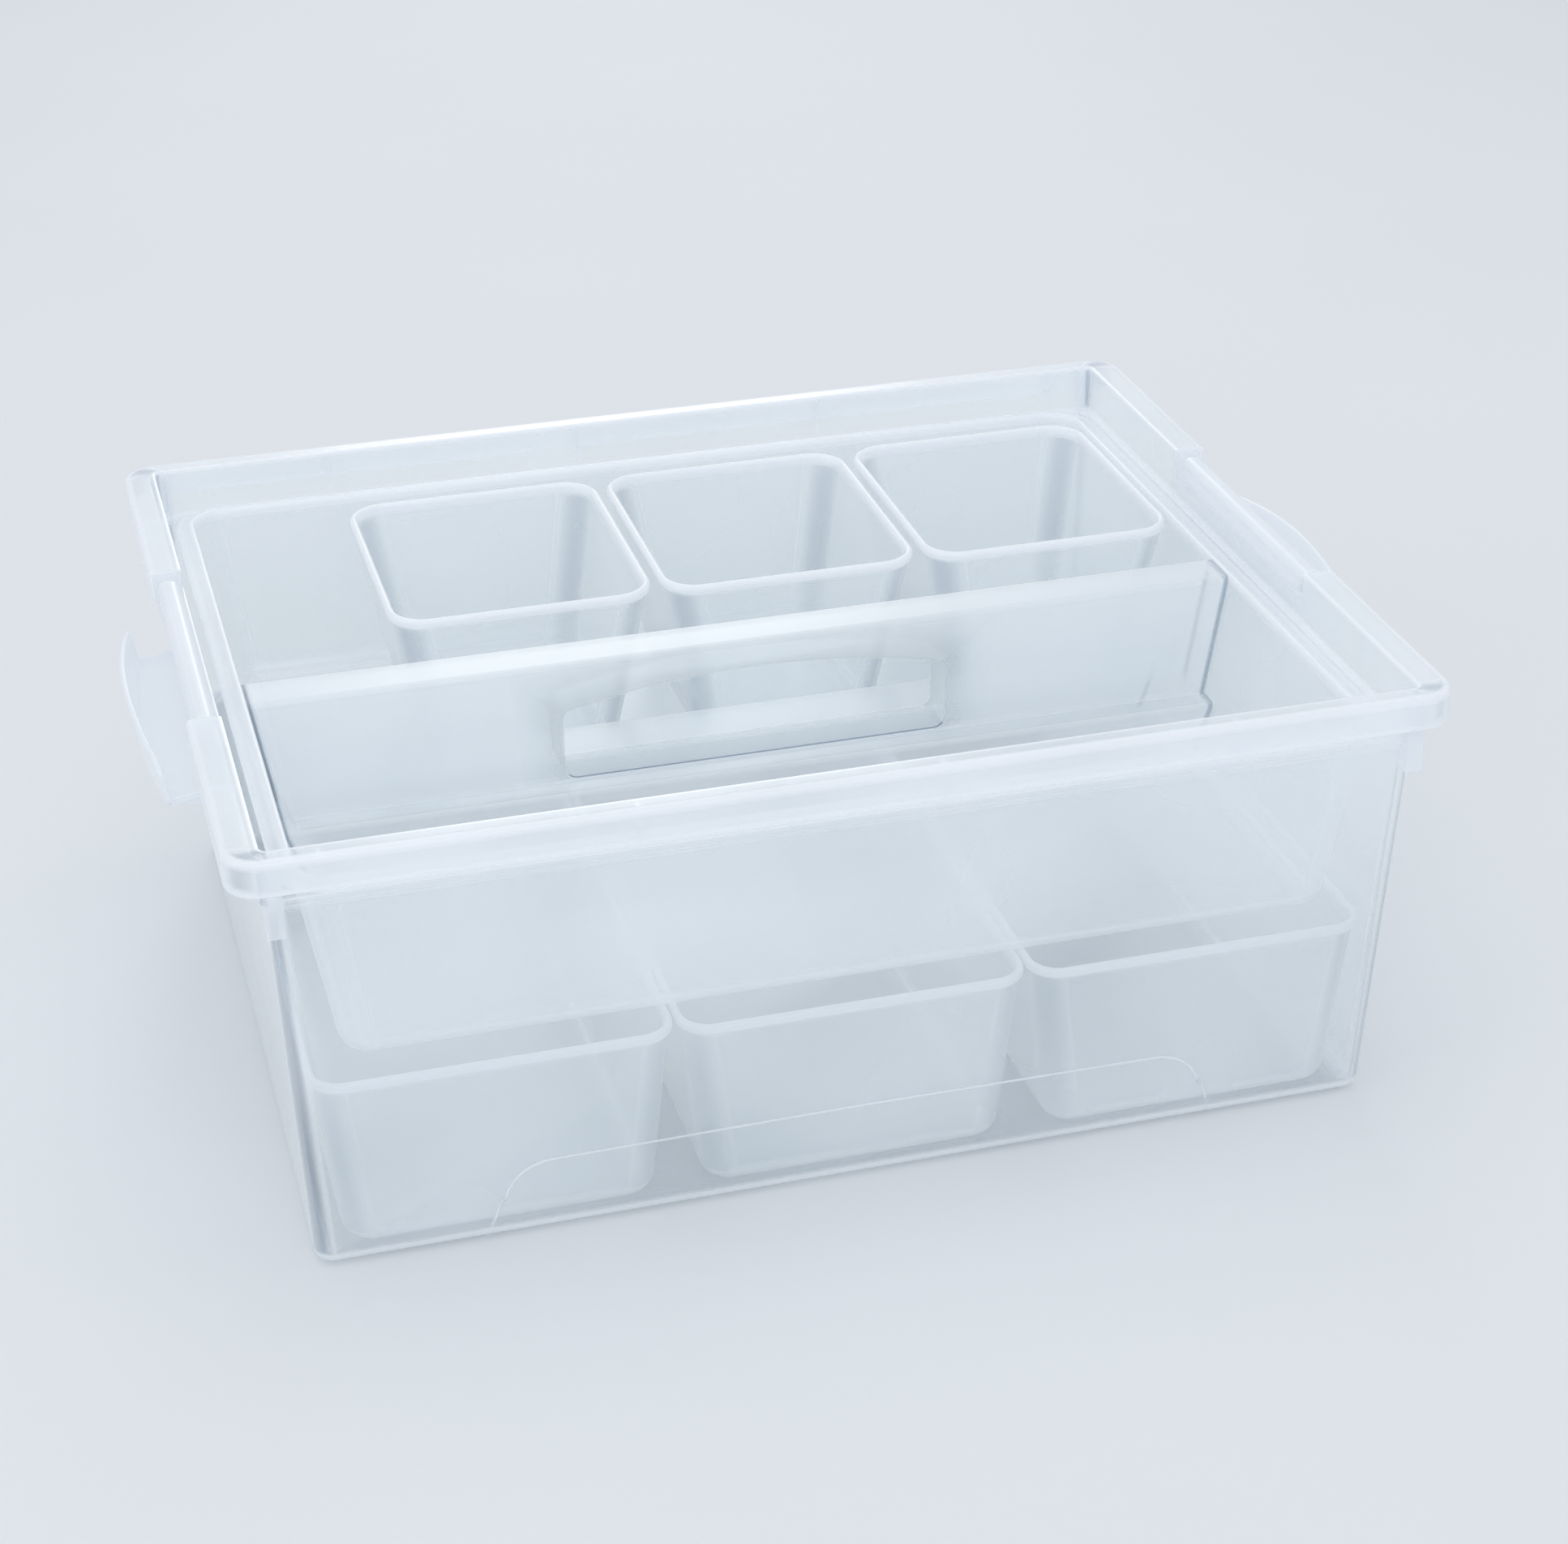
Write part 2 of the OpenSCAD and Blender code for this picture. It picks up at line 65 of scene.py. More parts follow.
def polypropylene(name, haze, painted_edge_highlight, glance_haze, roughness, ripple):
    """Moulded polypropylene: most light passes straight, some is scattered by the bulk, more of it at a
    glance, and the skin mirrors softly with the ripple that the melt leaves. The edge attribute adds
    painted highlight above 0, as more scatter, and painted shade below 0, as a blue-grey see-through colour."""
    mat = bpy.data.materials.new(name)
    mat.use_nodes = True
    tree = mat.node_tree
    tree.nodes.clear()
    place = add(tree, "ShaderNodeTexCoord").outputs["Object"]
    # Flow marks, 50 to 80 mm across
    flow = add(tree, "ShaderNodeTexNoise", {"Vector": place, "Scale": 15, "Detail": 0})
    # Ripple in the skin, 20 to 30 mm across
    wave = add(tree, "ShaderNodeTexNoise", {"Vector": place, "Scale": 42, "Detail": 0})
    bump = add(tree, "ShaderNodeBump", {"Height": wave.outputs[0], "Strength": ripple, "Distance": 2 * MM})
    glance = add(tree, "ShaderNodeLayerWeight", {"Blend": 0.5}).outputs["Facing"]
    edge = add(tree, "ShaderNodeAttribute", attribute_name="edge").outputs["Fac"]

    def calc(operation, a, b, c=0.0, clamp=False):
        n = add(tree, "ShaderNodeMath", {0: a, 1: b, 2: c}, operation=operation, use_clamp=clamp)
        return n.outputs[0]

    mirror = calc("MULTIPLY_ADD", calc("POWER", glance, 5.0), 0.75, 0.04)
    cloud = calc("MULTIPLY_ADD", flow.outputs[0], haze * 1.2, haze * 0.4)
    thick = calc("MULTIPLY_ADD", calc("POWER", glance, 4.0), glance_haze, cloud)
    # Above 0 the edge value is painted highlight: more milky scatter makes the edge look whiter
    light = calc("MAXIMUM", edge, 0.0)
    thick = calc("MULTIPLY_ADD", light, painted_edge_highlight, thick, clamp=True)
    # The bulk scatters mostly forward, so light on its way to other surfaces keeps most of its strength
    onward = add(tree, "ShaderNodeLightPath").outputs["Is Shadow Ray"]
    thick = calc("MULTIPLY", thick, calc("MULTIPLY_ADD", onward, -0.7, 1.0))
    # Below 0 the edge value is painted shade: the see-through colour turns blue-grey, a dark line standing
    # in for the light that a thick edge sends aside
    painted_shade = calc("MULTIPLY", edge, -1.0, clamp=True)
    tint = add(tree, "ShaderNodeMix", {0: painted_shade, 6: linear("FDFEFE"), 7: linear("8FA3B5")}, data_type="RGBA")
    through = add(tree, "ShaderNodeBsdfTransparent", {"Color": tint.outputs[2]})
    bulk = linear("F7F9FC")
    lit = add(tree, "ShaderNodeBsdfDiffuse", {"Color": bulk})
    glow = add(tree, "ShaderNodeBsdfTranslucent", {"Color": bulk})
    skin = add(tree, "ShaderNodeBsdfGlossy", {"Color": linear("FFFFFF"), "Roughness": roughness,
                                              "Normal": bump.outputs[0]})
    milk = add(tree, "ShaderNodeMixShader", {0: 0.5, 1: lit.outputs[0], 2: glow.outputs[0]})
    body = add(tree, "ShaderNodeMixShader", {0: thick, 1: through.outputs[0], 2: milk.outputs[0]})
    whole = add(tree, "ShaderNodeMixShader", {0: mirror, 1: body.outputs[0], 2: skin.outputs[0]})
    add(tree, "ShaderNodeOutputMaterial", {"Surface": whole.outputs[0]})
    return mat


def outline(x, y, r, steps, stops=()):
    """A rectangle with round corners, half sizes x and y, anticlockwise from the right-hand side, with
    points at +-stops on both end sides. Each point tells how far round its corner it is, or None."""
    points = []
    for turn, (cx, cy) in enumerate([(x - r, y - r), (r - x, y - r), (r - x, r - y), (x - r, r - y)]):
        if turn % 2 == 0:
            side = x if turn == 0 else -x
            rows = sorted([-s for s in stops] + list(stops), reverse=turn == 2)
            points += [(side, s, None) for s in rows]
        for i in range(-1, steps + 2):
            a = math.radians(90 * (turn + min(max(i, 0), steps) / steps))
            px, py = cx + r * math.cos(a), cy + r * math.sin(a)
            if i in (-1, steps + 1):
                hold = 1.5 if i < 0 else -1.5
                px, py = px + hold * math.sin(a), py - hold * math.cos(a)
            points.append((px, py, None if i in (-1, steps + 1) else i / steps))
    return points


def loft(bm, rings, steps, corner, stops=(), shift=(0, 0), joined=False):
    """Skins rings of (half x, half y, corner radius, z, edge) and caps the first and last, or joins them.
    corner is the edge value at the sides and in the middle of each corner: painted highlight above 0 and
    painted shade below 0."""
    layer = bm.verts.layers.float.get("edge") or bm.verts.layers.float.new("edge")
    rows = []
    for ring in rings:
        x, y, r, z, edge = ring[:5]
        dy = ring[5] if len(ring) > 5 else 0
        row = []
        for px, py, turn in outline(x, y, r, steps, stops):
            v = bm.verts.new(((px + shift[0]) * MM, (py + shift[1] + dy) * MM, z * MM))
            v[layer] = edge
            if turn is not None and edge < 0.3:
                v[layer] = corner[0] + (corner[1] - corner[0]) * math.sin(math.pi * turn)
            row.append(v)
        rows.append(row)
    count = len(rows[0])
    strips = list(zip(rows, rows[1:] + rows[:1] if joined else rows[1:]))
    for low, high in strips:
        for i in range(count):
            j = (i + 1) % count
            bm.faces.new((low[i], low[j], high[j], high[i]))
    if not joined:
        bm.faces.new(rows[0])
        bm.faces.new(list(reversed(rows[-1])))
    return rows


def base_bend(x, y, corner, bend, z, edge, up):
    """Rings round a base edge: up from the floor's flat to the wall inside, where a fine line of painted
    highlight stands in the bend, or down again outside, where the painted highlight is spread. x and y are
    the wall's foot."""
    rings = []
    for i in range(9):
        a = math.radians(90 * i / 8)
        inset = bend * (1 - math.sin(a))
        light = {3: 0.25, 4: 1.6, 5: 0.25}.get(i, 0) if up else math.sin(2 * a)
        rings.append((x - inset, y - inset, max(corner - inset, 0.6), z + bend * (1 - math.cos(a)),
                      edge * light))
    flat = rings[0]
    rings.insert(0, (flat[0] - 3, flat[1] - 3, flat[2], flat[3], 0))
    return rings if up else rings[::-1]


def piece(name, bm, material, smooth=40):
    """Makes the object, with smooth faces and wide faces kept flat."""
    bmesh.ops.recalc_face_normals(bm, faces=bm.faces)
    mesh = bpy.data.meshes.new(name)
    bm.to_mesh(mesh)
    bm.free()
    mesh.materials.append(material)
    mesh.shade_smooth()
    mesh.set_sharp_from_angle(angle=math.radians(smooth))
    ob = bpy.data.objects.new(name, mesh)
    bpy.context.collection.objects.link(ob)
    ob.modifiers.new("Flat faces stay flat", "WEIGHTED_NORMAL").keep_sharp = True
    return ob


def plate(bm, shape, place, thickness, edge=0.6, holes=()):
    """A flat plate: shape and holes are outlines in its plane, place turns (u, v, depth) into a point, and
    edge is painted highlight given to all its points.
    """
    layer = bm.verts.layers.float.get("edge") or bm.verts.layers.float.new("edge")
    loops = [shape, *holes]
    faces = {}
    for depth in (0, thickness):
        edges = []
        for k, loop in enumerate(loops):
            row = [bm.verts.new(Vector(place(u, v, depth)) * MM) for u, v in loop]
            for v in row:
                v[layer] = edge
            edges += [bm.edges.new((a, b)) for a, b in zip(row, row[1:] + row[:1])]
            faces[depth, k] = row
        bmesh.ops.triangle_fill(bm, use_beauty=True, edges=edges)
    for k in range(len(loops)):
        low, high = faces[0, k], faces[thickness, k]
        for i in range(len(low)):
            j = (i + 1) % len(low)
            bm.faces.new((low[i], low[j], high[j], high[i]))


def arc(cx, cy, r, start, end, steps):
    """Points along an arc, angles in degrees."""
    return [(cx + r * math.cos(math.radians(start + (end - start) * i / steps)),
             cy + r * math.sin(math.radians(start + (end - start) * i / steps))) for i in range(steps + 1)]


# Half the notch's length and the ears' thickness, half sizes over the rim and inside its band, and the
# hinges' place, all in mm
notch, ear, rim_x, rim_y, band_x, band_y = 73, 2.2, 245, 196, 230.8, 186.6
hinge_x, hinge_z = 237.3, 186.2
# Clear and glossy with a faint milky haze, and painted highlight that makes it whiter along its edges
clear_pp = polypropylene("Clear polypropylene, polished mould", haze=0.22, painted_edge_highlight=0.75,
                         glance_haze=0.45, roughness=0.24, ripple=0.12)
# Each ring's last number is painted highlight, whitest round the rim's bends and in the inner foot's bend
inside = base_bend(222, 177.8, 5.5, 4.8, 2.4, 0.35, True)
inside += [(228.2, 184, 4, 168.5, 0), (228.4, 184.2, 4, 171.6, 0.7), (228.6, 184.4, 4, 172.3, 0.9),
           (229.2, 185, 3.8, 172.5, 0.9), (230.2, 186, 3.2, 172.5, 0.6), (230.8, 186.6, 3, 173.1, 0.7),
           (230.8, 186.6, 3, 175, 0), (230.8, 186.6, 3, 180.4, 0)]
wall_top = len(inside) - 1
over = [(band_x + d, band_y + d, 3 + d, z, e) for d, z, e in
        [(0, 193, 0), (0, 194.2, 0.7), (0.25, 194.8, 1), (0.8, 195, 1), (2, 195, 0.15)]]
over += [(rim_x - d, rim_y - d, 14 - d, z, e) for d, z, e in
         [(3.6, 195, 0.15), (2, 195, 0.8), (0.95, 194.7, 1), (0.3, 194, 1), (0, 193, 0.9), (0, 191, 0.3),
          (0, 183, 0.3), (0, 181, 0.8), (0.3, 180.3, 1), (1, 180, 1), (1.7, 180.3, 1), (2, 181, 0.8),
          (2, 183, 0.25), (2, 191.6, 0.25), (2.4, 192.6, 0.5), (3.4, 193, 0.3)]]
over += [(band_x + d, band_y + d, 3 + d, z, e) for d, z, e in
         [(3.6, 193, 0.1), (2.6, 192.6, 0.5), (2.2, 191.6, 0), (2.2, 180.4, 0)]]
outside = [(233, 188.8, 5.2, 172.4, 0), (232.8, 188.6, 5.2, 171.2, 0.6), (232, 187.8, 5, 170.5, 0.6),
           (231, 186.8, 4.6, 170.2, 0.5), (230.6, 186.4, 4.5, 169.4, 0.3), (230.5, 186.3, 4.5, 167, 0)]
# The foot's bend is painted white almost up to the wall, as painted highlight
foot_bend = 7
foot = base_bend(224.2, 180, 7.5, foot_bend, 0, 1, False)
outside += [(x, y, r, z, 0 if z > 6 else 1 if z > 0.3 else 0.5) for x, y, r, z, _ in foot[:-1]] + foot[-1:]
bm = bmesh.new()
# Painted highlight at the sides of each corner and painted shade down its middle
rows = loft(bm, inside + over + outside, 8, (0.5, -0.5), stops=(notch, notch + ear))
# The notch in each end: rim, skirt and the top of the wall are left out between its two sides
wall_back = wall_top + len(over)
count = len(rows[0])
for k, v in enumerate(rows[0]):
    w = rows[0][(k + 1) % count]
    if abs(abs(v.co.y) - notch * MM) < 1e-6 and abs(abs(w.co.y) - notch * MM) < 1e-6:
        j = (k + 1) % count
        for low, high in zip(rows[wall_top:wall_back], rows[wall_top + 1 : wall_back + 1]):
            bm.faces.remove(bm.faces.get((low[k], low[j], high[j], high[k])))
        bm.faces.new((rows[wall_top][k], rows[wall_top][j], rows[wall_back][j], rows[wall_back][k]))
        for i in (k, j):
            bm.faces.new([row[i] for row in rows[wall_top : wall_back + 1]])
# Ears that close the rim's channel on both sides of the notch, with a lobe below and the pin's bore
lobe = [(231, 194), (242.6, 194), (242.6, 180.5)] + arc(237.6, 173, 4, 0, -90, 8) + [(231, 169)]
bore = arc(hinge_x, hinge_z, 1.85, 0, 345, 23)
for sx in (1, -1):
    for y in (notch, -notch - ear):
        # Painted highlight of 0.45 makes the ears whiter
        plate(bm, lobe, lambda u, v, d: (sx * u, y + d, v), ear, 0.45, [bore])
# Posts under the rim's corners, hollow and open below
for sx in (1, -1):
    for sy in (1, -1):
        post = [(224.6, 185), (224.6, 192.2), (231.6, 192.2), (231.6, 185), (230, 185), (230, 190.6),
                (226.2, 190.6), (226.2, 185)]
        # Painted highlight of 0.35 makes the posts whiter
        plate(bm, post, lambda u, v, d: (sx * u, sy * v, 160 + d), 33.6, 0.35)
tub = piece("tub_shell", bm, clear_pp)
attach(tub, "tub")
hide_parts("tub")

# ---- Webs under the rim ----
# Thin fins moulded between the wall and the skirt, 120 mm apart, so that the skirt stays straight.


def repeated(name, source, at, material, turn=0):
    """A plain mesh of source repeated at points, made by Geometry Nodes."""
    group = bpy.data.node_groups.new(name, "GeometryNodeTree")
    group.interface.new_socket("Geometry", in_out="INPUT", socket_type="NodeSocketGeometry")
    size = group.interface.new_socket("Turn", in_out="INPUT", socket_type="NodeSocketFloat")
    shape = group.interface.new_socket("Piece", in_out="INPUT", socket_type="NodeSocketObject")
    group.interface.new_socket("Geometry", in_out="OUTPUT", socket_type="NodeSocketGeometry")
    inp = add(group, "NodeGroupInput")
    info = add(group, "GeometryNodeObjectInfo", {"Object": inp.outputs["Piece"]})
    spin = add(group, "ShaderNodeCombineXYZ", {"Z": inp.outputs["Turn"]})
    copies = add(group, "GeometryNodeInstanceOnPoints", {"Points": inp.outputs["Geometry"],
                 "Instance": info.outputs["Geometry"], "Rotation": spin.outputs[0]})
    real = add(group, "GeometryNodeRealizeInstances", {"Geometry": copies.outputs[0]})
    paint = add(group, "GeometryNodeSetMaterial", {"Geometry": real.outputs[0], "Material": material})
    add(group, "NodeGroupOutput", {"Geometry": paint.outputs[0]})
    mesh = bpy.data.meshes.new(name)
    mesh.from_pydata([Vector(p) * MM for p in at], [], [])
    ob = bpy.data.objects.new(name, mesh)
    bpy.context.collection.objects.link(ob)
    mod = ob.modifiers.new("Repeat", "NODES")
    mod.node_group = group
    mod[size.identifier] = math.radians(turn)
    mod[shape.identifier] = source
    bpy.context.view_layer.update()
    done = bpy.data.meshes.new_from_object(ob.evaluated_get(bpy.context.evaluated_depsgraph_get()))
    ob.modifiers.remove(mod)
    ob.data = done
    bpy.data.objects.remove(source)
    return ob


for name, reach, turn, spots in (
    ("side_webs", 8.2, 0, [(x, 188, 0) for x in (-150, -30, 90, 210)]),
    ("front_webs", 8.2, 180, [(x, -188, 0) for x in (-210, -90, 30, 150)]),
    ("right_webs", 11, 270, [(232.2, y, 0) for y in (-130, 130)]),
    ("left_webs", 11, 90, [(-232.2, y, 0) for y in (-130, 130)]),
):
    bm = bmesh.new()
    fin = [(0, 194), (reach - 1, 194), (reach - 1, 183)] + arc(reach - 1, 172, 11, 90, 170, 8)[1:]
    # Painted highlight of 0.5 makes the fins whiter
    plate(bm, [(u, v) for u, v in fin if u >= 0] + [(0, 176)], lambda u, v, d: (d - 0.7, u, v), 1.4, 0.5)
    webs = repeated(name, piece(name + "_source", bm, clear_pp), spots, clear_pp, turn)
    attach(webs, "tub")

# ---- Bead round the foot panel ----
# A fine raised line on the foot of each long wall, where the mould's insert meets the wall. Its edge
# catches light, and its milkier material adds painted highlight.


def beaded(name, paths, radius, material):
    """A fine round bead along paths, made by Geometry Nodes."""
    group = bpy.data.node_groups.new(name, "GeometryNodeTree")
    group.interface.new_socket("Geometry", in_out="INPUT", socket_type="NodeSocketGeometry")
    size = group.interface.new_socket("Radius", in_out="INPUT", socket_type="NodeSocketFloat")
    group.interface.new_socket("Geometry", in_out="OUTPUT", socket_type="NodeSocketGeometry")
    inp = add(group, "NodeGroupInput")
    line = add(group, "GeometryNodeMeshToCurve", {"Mesh": inp.outputs["Geometry"]})
    ring = add(group, "GeometryNodeCurvePrimitiveCircle", {"Resolution": 8, "Radius": inp.outputs["Radius"]})
    tube = add(group, "GeometryNodeCurveToMesh", {"Curve": line.outputs[0],
               "Profile Curve": ring.outputs[0], "Fill Caps": True})
    soft = add(group, "GeometryNodeSetShadeSmooth", {"Geometry": tube.outputs[0]})
    real = add(group, "GeometryNodeRealizeInstances", {"Geometry": soft.outputs[0]})
    paint = add(group, "GeometryNodeSetMaterial", {"Geometry": real.outputs[0], "Material": material})
    add(group, "NodeGroupOutput", {"Geometry": paint.outputs[0]})
    mesh = bpy.data.meshes.new(name)
    points, edges = [], []
    for path in paths:
        edges += [(len(points) + i, len(points) + i + 1) for i in range(len(path) - 1)]
        points += [Vector(p) * MM for p in path]
    mesh.from_pydata(points, edges, [])
    ob = bpy.data.objects.new(name, mesh)
    bpy.context.collection.objects.link(ob)
    mod = ob.modifiers.new("Bead", "NODES")
    mod.node_group = group
    mod[size.identifier] = radius * MM
    bpy.context.view_layer.update()
    done = bpy.data.meshes.new_from_object(ob.evaluated_get(bpy.context.evaluated_depsgraph_get()))
    ob.modifiers.remove(mod)
    ob.data = done
    return ob


# Milky all through, a painted highlight that reads as a thin white line
bead_pp = polypropylene("Clear polypropylene, fine bead", haze=0.6, painted_edge_highlight=0,
                        glance_haze=0.3, roughness=0.25, ripple=0)
half = ([(155, 1.5)] + [(155 - 0.34 * (z - 1.5), z) for z in (12, 20)]
        + arc(128, 15, 20, 12, 90, 10) + [(60, 35.6), (0, 36)])
line = half + [(-x, z) for x, z in half[-2::-1]]


def wall_face(z):
    """How far out the long wall's face is at height z, with its bend at the foot."""
    low = 1 - min(z, foot_bend) / foot_bend
    return 186.4 - 6.4 * (168 - max(z, foot_bend)) / (168 - foot_bend) - foot_bend * (
        1 - math.sqrt(1 - low * low))


paths = [[(x, sy * wall_face(z), z) for x, z in line] for sy in (1, -1)]
bead = beaded("foot_beads", paths, 0.5, bead_pp)
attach(bead, "tub")

# ---- Latches ----
# A snap latch in each notch: a channel-section bar on two moulded pins, a leg with a bowed edge and a
# bowed grip plate on a web. Cloudier polypropylene than the tub, because it is thicker.


def skin(bm, rows, edges, caps=True):
    """Skins rows of points, with an edge value for each row or for each point."""
    layer = bm.verts.layers.float.get("edge") or bm.verts.layers.float.new("edge")
    made = []
    for row, edge in zip(rows, edges):
        made.append([bm.verts.new(Vector(p) * MM) for p in row])
        for k, v in enumerate(made[-1]):
            v[layer] = edge[k] if isinstance(edge, (list, tuple)) else edge
    count = len(made[0])
    for low, high in zip(made, made[1:]):
        for i in range(count):
            j = (i + 1) % count
            bm.faces.new((low[i], low[j], high[j], high[i]))
    if caps:
        bm.faces.new(made[0])
        bm.faces.new(list(reversed(made[-1])))


def stations(half, bend):
    """Places along a latch from end to end, with how far each is drawn in at its rounded ends."""
    ends = sorted((half - bend * (1 - math.cos(math.radians(a))), bend * (1 - math.sin(math.radians(a))))
                  for a in (90, 60, 35, 15, 0))
    middle = [half * k / 8 for k in range(-7, 8)]
    return ([(-y, i) for y, i in reversed(ends)] + [(y, 0) for y in middle if abs(y) < half - bend]
            + ends)


def slab(u0, u1, w0, w1, t):
    """A thin upright slab's section with rounded edges, from w0 up to w1."""
    r = t / 2
    low = arc(u0 + r, w0 + r, r, 180, 360, 6)
    high = arc(u1 + r, w1 - r, r, 0, 180, 6)
    return low + high


# Half the latch's length, the leg's height, and the grip plate's foot below the hinge, height, reach and bow
latch_half, leg_h, bow_r = 67.6, 36, 383.8
grip_low, grip_h, grip_out, grip_bow = -31.9, 24, 18, 6


def bow(y):
    """How far a bowed edge falls back at y from the latch's middle."""
    return bow_r - math.sqrt(bow_r**2 - y * y)


# Milkier than the tub and softer in its shine
latch_pp = polypropylene("Cloudy polypropylene, latch moulding", haze=0.38, painted_edge_highlight=0.45,
                         glance_haze=0.4, roughness=0.3, ripple=0.12)
# The latch's edge values are painted highlight: whiter at the bar's shoulders, the leg's bowed edge, the
# web's ends, the grip plate's edges and the pins' ends
for side, sx in (("left", -1), ("right", 1)):
    def put(rows):
        return [[(sx * (hinge_x + u), y, hinge_z + w) for u, y, w in row] for row in rows]

    bm = bmesh.new()
    # The bar: an inverted channel with rounded shoulders, closed at its ends
    out = ([(4.6, -3)] + arc(1.1, 3, 3.5, 0, 90, 6) + arc(-1.1, 3, 3.5, 90, 180, 6) + [(-4.6, -3)])
    inn = ([(-2.8, -3)] + arc(-1.1, 3, 1.7, 180, 90, 4) + arc(1.1, 3, 1.7, 90, 0, 4) + [(2.8, -3)])
    section = out + inn
    # Painted highlight on the bar's shoulders, less on its faces
    glow = [0.4 if abs(w) > 2.9 and abs(u) > 1.2 else 0.15 for u, w in section]
    rows = [[(u * (1 - i / 8), y, w * (1 - i / 12)) for u, w in section] for y, i in stations(latch_half, 1)]
    skin(bm, put(rows), [glow] * len(rows))
    for sy in (1, -1):
        plate(bm, out, lambda u, v, d: (sx * (hinge_x + u * 0.97), sy * (67.4 - d), hinge_z + v * 0.98),
              1.6, 0.35)
    # The foot that stops the latch against the wall
    foot = [(-2.9, -1.2), (-4.5, 1.4), (-5.9, -0.9), (-6.2, -1.6), (-6.1, -2.3), (-5.4, -2.6), (-3.2, -3)]
    rows = [[(u, y, w) for u, w in foot] for y, _ in stations(66.8, 1)]
    skin(bm, put(rows), [0.4] * len(rows))
    # The leg, leaning in, with a bowed lower edge
    rows, glow = [], []
    for y, inset in stations(latch_half, 3):
        low = -leg_h + bow(y) + inset
        lean = 5 * -low / leg_h
        row = slab(2.8 - lean, 2.8, low, 0.5, 1.8)
        rows.append([(u, y, w) for u, w in row])
        glow.append([0.6] * 7 + [0.1] * 7 if inset < 1 else 0.6)
    skin(bm, put(rows), glow)
    # The web out to the grip plate, with a turned-down flange at each end
    rows, glow = [], []
    for y, inset in stations(latch_half, 2):
        reach = grip_out + grip_bow - bow(y) - inset - 1
        rows.append([(0, y, -26), (reach, y, -28.5), (reach, y, -30.3), (0, y, -27.8)])
        glow.append(0.15 if inset == 0 else 0.5)
    skin(bm, put(rows), glow)
    for sy in (1, -1):
        rib = [(0, -27), (3, -27.2), (15.6, -28.6), (15.6, -31.2), (3, -32.8), (-0.6, -33)]
        plate(bm, rib, lambda u, v, d: (sx * (hinge_x + u), sy * (66.6 - d), hinge_z + v), 1.4, 0.4)
    # The grip plate, bowed outwards and leaning, with an arched top
    rows, glow = [], []
    for y, inset in stations(latch_half, 4):
        sag = bow(y)
        low, high = grip_low + inset, grip_low + grip_h - sag - inset
        t = 2.6 - 1.2 * inset / 4
        u = grip_out + grip_bow - sag - t - 0.3
        lean = 4 * grip_h / 26
        row = slab(u + lean * (low - grip_low) / grip_h, u + lean * (high - grip_low) / grip_h, low, high, t)
        rows.append([(a, y, w) for a, w in row])
        glow.append([0.5] * 7 + [0.7] * 7 if inset < 1.5 else 0.8)
    skin(bm, put(rows), glow)
    # The pins that turn in the tub's ears
    for sy in (1, -1):
        rows = [[(r * math.cos(a), sy * y, r * math.sin(a)) for a in
                 [math.radians(15 * k) for k in range(24)]] for y, r in
                ((66.6, 1.5), (67, 1.6), (74.4, 1.6), (74.9, 1.1))]
        skin(bm, put(rows), [0.3, 0.3, 0.3, 0.8])
    latch = piece(f"latch_{side}_shell", bm, latch_pp)
    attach(latch, f"latch_{side}")
    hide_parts(f"latch_{side}")

# ---- Insert tray ----
# A thin lift-out tray that hangs by its rim on the tub's ledge. The floor rises into a hollow step and
# handle wall, open underneath, with a hand slot right through.

# The clearest of the mouldings, with a broad soft shine
tray_pp = polypropylene("Clear polypropylene, thin tray", haze=0.15, painted_edge_highlight=0.75,
                        glance_haze=0.32, roughness=0.35, ripple=0.15)
# The opening under the hollow step, and the tray's foot: its half length, its height and its bend
hole = (195, 30.6, 0.8)
tray_foot, tray_low, tray_bend = 206.4, 88.8, 12
# Each ring's last number is painted highlight, whitest round the rim's bends
rings = [(*hole, 90.6, 0.3, -8.5)] + base_bend(204.6, 172.2, 11, 10.2, 90.6, 0.4, True)
rings += [(216.3, 176.9, 13.2, 171, 0), (216.6, 177.2, 13.4, 173.5, 0.6), (216.8, 177.4, 13.6, 175, 1),
          (217.3, 177.9, 14.1, 175.9, 1), (218.3, 178.9, 15, 176.2, 1), (219.3, 179.9, 16, 175.9, 1),
          (219.9, 180.5, 16.6, 175.2, 0.8), (220.6, 181.2, 17.2, 174.7, 0.5), (221.6, 182.2, 18, 174.6, 0.2),
          (224, 184.6, 20.6, 174.6, 0.3), (224.8, 185.4, 21.4, 174.5, 0.9), (225.3, 185.9, 21.9, 174.1, 1),
          (225.4, 186, 22, 173.6, 1), (225.2, 185.8, 21.8, 173, 1), (224.7, 185.3, 21.3, 172.8, 0.6),
          (220.2, 180.8, 16.8, 172.8, 0.3), (218.8, 179.4, 15.4, 172.3, 0.5), (218.3, 178.9, 15, 171, 0.1),
          (218, 178.8, 14.9, 168, 0)]
rings += base_bend(tray_foot, 174, 12.4, tray_bend, tray_low, 0.4, False)
rings += [(*hole, tray_low, 0.3, -8.5)]
bm = bmesh.new()
# A little painted highlight at the corners
loft(bm, rings, 12, (0.15, 0.05), joined=True)
tray = piece("tray_shell", bm, tray_pp)
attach(tray, "insert_tray")
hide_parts("insert_tray")


def wall_mid(z):
    """Where the middle of the tray's end wall is at height z."""
    if z < tray_low + tray_bend:
        c = 1 - (z - tray_low) / tray_bend
        return tray_foot - tray_bend * (1 - math.sqrt(max(0, 1 - c * c))) - 0.9
    return tray_foot + 12 * (z - tray_low - tray_bend) / 73.2 - 0.9


